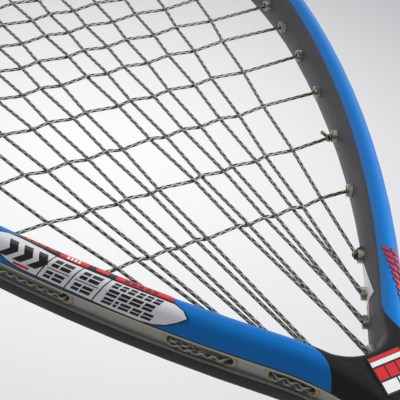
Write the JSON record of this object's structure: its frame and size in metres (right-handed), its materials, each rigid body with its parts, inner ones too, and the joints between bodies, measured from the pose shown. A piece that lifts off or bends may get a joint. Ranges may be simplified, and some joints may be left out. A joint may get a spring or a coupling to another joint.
{
  "type": "squash racket",
  "caption": "Squash racket with a teardrop head, a woven string bed fanning from the open throat, grommet strips, a bumper guard and a wrapped handle.",
  "frame": {"origin": "middle of the racket's overall length, on its centre line and in the plane of the strings", "axes": "+Y from the butt towards the tip of the head, +X across the head, +Z out of the front face, square to the strings"},
  "size_m": [0.2134, 0.6859, 0.0336],
  "materials": {
    "frame_lacquer": "gloss blue lacquer on the faces of the head, satin dark grey carbon on the inner wall, throat and shaft",
    "guard_nylon": "satin black nylon",
    "strip_nylon": "translucent smoky amber nylon",
    "string": "light grey multifilament with a dark spiral",
    "panel_print": "silver grey print under lacquer, with dark outlines",
    "flash_print": "red print under lacquer, with a dark outline",
    "badge_resin": "gloss red resin with a plain abstract device",
    "pallet_foam": "moulded polyurethane foam",
    "cap_plastic": "satin black plastic",
    "staple_steel": "zinc plated wire",
    "grip_tape": "perforated black polyurethane tape, wound in a spiral",
    "tack_brass": "brassed steel",
    "tape_vinyl": "black vinyl tape",
    "collar_rubber": "matt black rubber"
  },
  "bodies": {
    "root": {"frame": "frame_lacquer", "bumper_guard": "guard_nylon", "grommet_strip_left": "strip_nylon", "grommet_strip_right": "strip_nylon", "main_string": "string", "cross_string": "string", "panel_decal_front": "panel_print", "panel_decal_back": "panel_print", "flash_decal_front": "flash_print", "flash_decal_back": "flash_print", "throat_badge_front": "badge_resin", "throat_badge_back": "badge_resin", "pallet_front": "pallet_foam", "pallet_back": "pallet_foam", "butt_cap": "cap_plastic", "butt_cap_staples": "staple_steel", "grip_wrap": "grip_tape", "grip_tack": "tack_brass", "finishing_tape": "tape_vinyl", "rubber_collar": "collar_rubber"}
  },
  "joints": []
}
